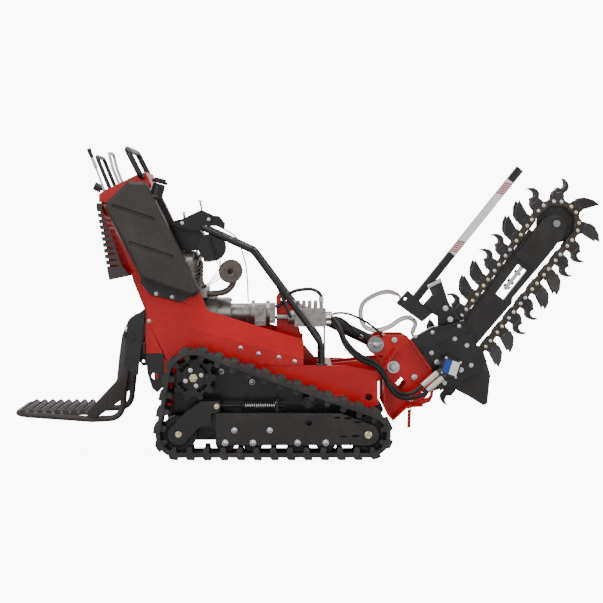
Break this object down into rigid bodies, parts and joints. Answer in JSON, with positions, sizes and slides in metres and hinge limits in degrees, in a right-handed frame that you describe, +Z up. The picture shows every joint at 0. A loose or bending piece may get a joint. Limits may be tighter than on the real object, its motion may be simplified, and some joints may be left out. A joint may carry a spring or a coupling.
{
  "type": "tracked trencher",
  "caption": "Stand-on tracked trencher with a chain digging boom, rubber tracks, engine bay, side tanks and a fold-up rear platform.",
  "frame": {"origin": "on the ground under the middle of the overall length and width", "axes": "+X towards the digging boom, +Y towards the machine's left, +Z up"},
  "size_m": [2.6282, 0.876, 1.362],
  "materials": {
    "red_paint": "gloss",
    "red_pin": "satin",
    "black_paint": "satin",
    "plate_black": "satin",
    "platform_grey": "matt",
    "tank_plastic": "grained",
    "engine_metal": "cast",
    "exhaust": "heat-stained",
    "hose_rubber": "matt",
    "zinc": "plated",
    "track_rubber": "matt",
    "spring_steel": "satin",
    "wheel_steel": "worn",
    "chrome_rod": "polished",
    "boom_steel": "worn",
    "chain_steel": "oiled",
    "tooth_steel": "painted",
    "webbing": "woven",
    "knob_plastic": "grained"
  },
  "bodies": {
    "chassis": {"main_frame": "red_paint", "side_panel_right": "red_paint", "side_panel_left": "red_paint", "tank_right": "tank_plastic", "tank_left": "tank_plastic", "operator_guard": "platform_grey", "control_console": "red_paint", "handlebar": "black_paint", "engine_block": "engine_metal", "engine_cover": "black_paint", "air_cleaner": "tank_plastic", "muffler": "exhaust", "hydraulic_pump": "engine_metal", "control_valve": "engine_metal", "engine_guard": "black_paint", "chassis_hoses": "hose_rubber", "head_hoses": "hose_rubber", "frame_bolts": "zinc", "track_frame_right": "black_paint", "track_frame_left": "black_paint", "track_plate_right": "plate_black", "track_plate_left": "plate_black", "track_belt_right": "track_rubber", "track_belt_left": "track_rubber", "drive_motors": "black_paint", "tension_spring_right": "spring_steel", "tension_spring_left": "spring_steel", "track_rollers_right": "wheel_steel", "track_rollers_left": "wheel_steel", "rear_brackets": "black_paint"},
    "boom": {"boom_carrier": "red_paint", "head_frame": "black_paint", "boom_bar": "boom_steel", "tension_adjuster": "zinc", "digging_chain": "chain_steel", "digging_teeth": "tooth_steel", "digging_motor": "boom_steel", "safety_bar": "black_paint", "bumper_block": "track_rubber", "dirt_shield": "boom_steel", "guard_strap": "webbing", "head_bolts": "zinc"},
    "barrel": {"lift_barrel": "black_paint"},
    "rod": {"lift_rod": "chrome_rod"},
    "head_sprocket": {"chain_sprocket": "boom_steel"},
    "nose": {"nose_roller": "boom_steel"},
    "step": {"platform": "platform_grey"},
    "cap": {"filler_cap": "tank_plastic"},
    "drive_control": {"travel_lever": "chrome_rod"},
    "throttle": {"throttle_lever": "knob_plastic"},
    "boom_control": {"boom_lever": "knob_plastic"},
    "pin": {"lock_pin": "red_pin"},
    "drive_wheel_right": {"drive_sprocket_right": "wheel_steel"},
    "idler_carriage_right": {"idler_arm_right": "black_paint"},
    "rear_wheel_right": {"rear_idler_right": "wheel_steel"},
    "front_wheel_right": {"front_idler_right": "wheel_steel"},
    "drive_wheel_left": {"drive_sprocket_left": "wheel_steel"},
    "idler_carriage_left": {"idler_arm_left": "black_paint"},
    "rear_wheel_left": {"rear_idler_left": "wheel_steel"},
    "front_wheel_left": {"front_idler_left": "wheel_steel"}
  },
  "joints": [
    {"name": "boom_lift", "type": "hinge", "parent": "chassis", "child": "boom", "pos_m": [0.3809, 0, 0.375], "axis": [0, 1, 0], "range_deg": [0, 100], "deforming": ["head_hoses"]},
    {"name": "barrel_pivot", "type": "hinge", "parent": "boom", "child": "barrel", "pos_m": [0.3009, 0, 0.477], "axis": [0, 1, 0], "range_deg": [-106, 0]},
    {"name": "rod_slide", "type": "slide", "parent": "barrel", "child": "rod", "axis": [-0.9003, 0, 0.4352], "range_m": [0, 0.196]},
    {"name": "head_sprocket_spin", "type": "hinge", "parent": "boom", "child": "head_sprocket", "pos_m": [0.6329, 0, 0.378], "axis": [0, 1, 0], "continuous": true},
    {"name": "nose_roller_spin", "type": "hinge", "parent": "boom", "child": "nose", "pos_m": [1.12422, 0, 1.02062], "axis": [0, 1, 0], "continuous": true},
    {"name": "drive_sprocket_spin_right", "type": "hinge", "parent": "chassis", "child": "drive_wheel_right", "pos_m": [-0.5041, -0.348, 0.354], "axis": [0, 1, 0], "continuous": true},
    {"name": "idler_carriage_slide_right", "type": "slide", "parent": "chassis", "child": "idler_carriage_right", "axis": [1, 0, 0], "range_m": [0, 0.012], "stiffness_N_per_m": 60000, "springref_m": -0.02, "deforming": ["tension_spring_right"]},
    {"name": "rear_idler_spin_right", "type": "hinge", "parent": "idler_carriage_right", "child": "rear_wheel_right", "pos_m": [-0.5691, -0.348, 0.109], "axis": [0, 1, 0], "continuous": true},
    {"name": "front_idler_spin_right", "type": "hinge", "parent": "chassis", "child": "front_wheel_right", "pos_m": [0.2529, -0.348, 0.109], "axis": [0, 1, 0], "continuous": true},
    {"name": "drive_sprocket_spin_left", "type": "hinge", "parent": "chassis", "child": "drive_wheel_left", "pos_m": [-0.5041, 0.348, 0.354], "axis": [0, 1, 0], "continuous": true},
    {"name": "idler_carriage_slide_left", "type": "slide", "parent": "chassis", "child": "idler_carriage_left", "axis": [1, 0, 0], "range_m": [0, 0.012], "stiffness_N_per_m": 60000, "springref_m": -0.02, "deforming": ["tension_spring_left"]},
    {"name": "rear_idler_spin_left", "type": "hinge", "parent": "idler_carriage_left", "child": "rear_wheel_left", "pos_m": [-0.5691, 0.348, 0.109], "axis": [0, 1, 0], "continuous": true},
    {"name": "front_idler_spin_left", "type": "hinge", "parent": "chassis", "child": "front_wheel_left", "pos_m": [0.2529, 0.348, 0.109], "axis": [0, 1, 0], "continuous": true},
    {"name": "platform_fold", "type": "hinge", "parent": "chassis", "child": "step", "pos_m": [-0.7866, 0, 0.5236], "axis": [0, 1, 0], "range_deg": [0, 90]},
    {"name": "filler_cap_turn", "type": "hinge", "parent": "chassis", "child": "cap", "pos_m": [-0.6586, -0.254, 1.1975], "axis": [0.2639, 0, 0.9646], "range_deg": [0, 120]},
    {"name": "travel_lever_tilt", "type": "hinge", "parent": "chassis", "child": "drive_control", "pos_m": [-0.8451, 0, 1.142], "axis": [0, 1, 0], "range_deg": [-8, 15], "stiffness_Nm_per_rad": 20},
    {"name": "throttle_tilt", "type": "hinge", "parent": "chassis", "child": "throttle", "pos_m": [-0.9001, -0.172, 1.142], "axis": [0, 1, 0], "range_deg": [-10, 25]},
    {"name": "boom_lever_tilt", "type": "hinge", "parent": "chassis", "child": "boom_control", "pos_m": [-0.9256, 0.12, 1.1655], "axis": [0, 1, 0], "range_deg": [-10, 10], "stiffness_Nm_per_rad": 8},
    {"name": "lock_pin_swing", "type": "hinge", "parent": "boom", "child": "pin", "pos_m": [0.4509, -0.146, 0.1897], "axis": [0, 1, 0], "range_deg": [-35, 35]}
  ],
  "couplings": [
    {"joint": "barrel_pivot", "follows": "boom_lift", "ratio": -1.0418},
    {"joint": "rod_slide", "follows": "boom_lift", "m_per_rad": 0.11146},
    {"joint": "nose_roller_spin", "follows": "head_sprocket_spin", "ratio": 0.80214},
    {"joint": "rear_idler_spin_right", "follows": "drive_sprocket_spin_right", "ratio": 1.2614},
    {"joint": "front_idler_spin_right", "follows": "drive_sprocket_spin_right", "ratio": 1.2614},
    {"joint": "rear_idler_spin_left", "follows": "drive_sprocket_spin_left", "ratio": 1.2614},
    {"joint": "front_idler_spin_left", "follows": "drive_sprocket_spin_left", "ratio": 1.2614}
  ]
}
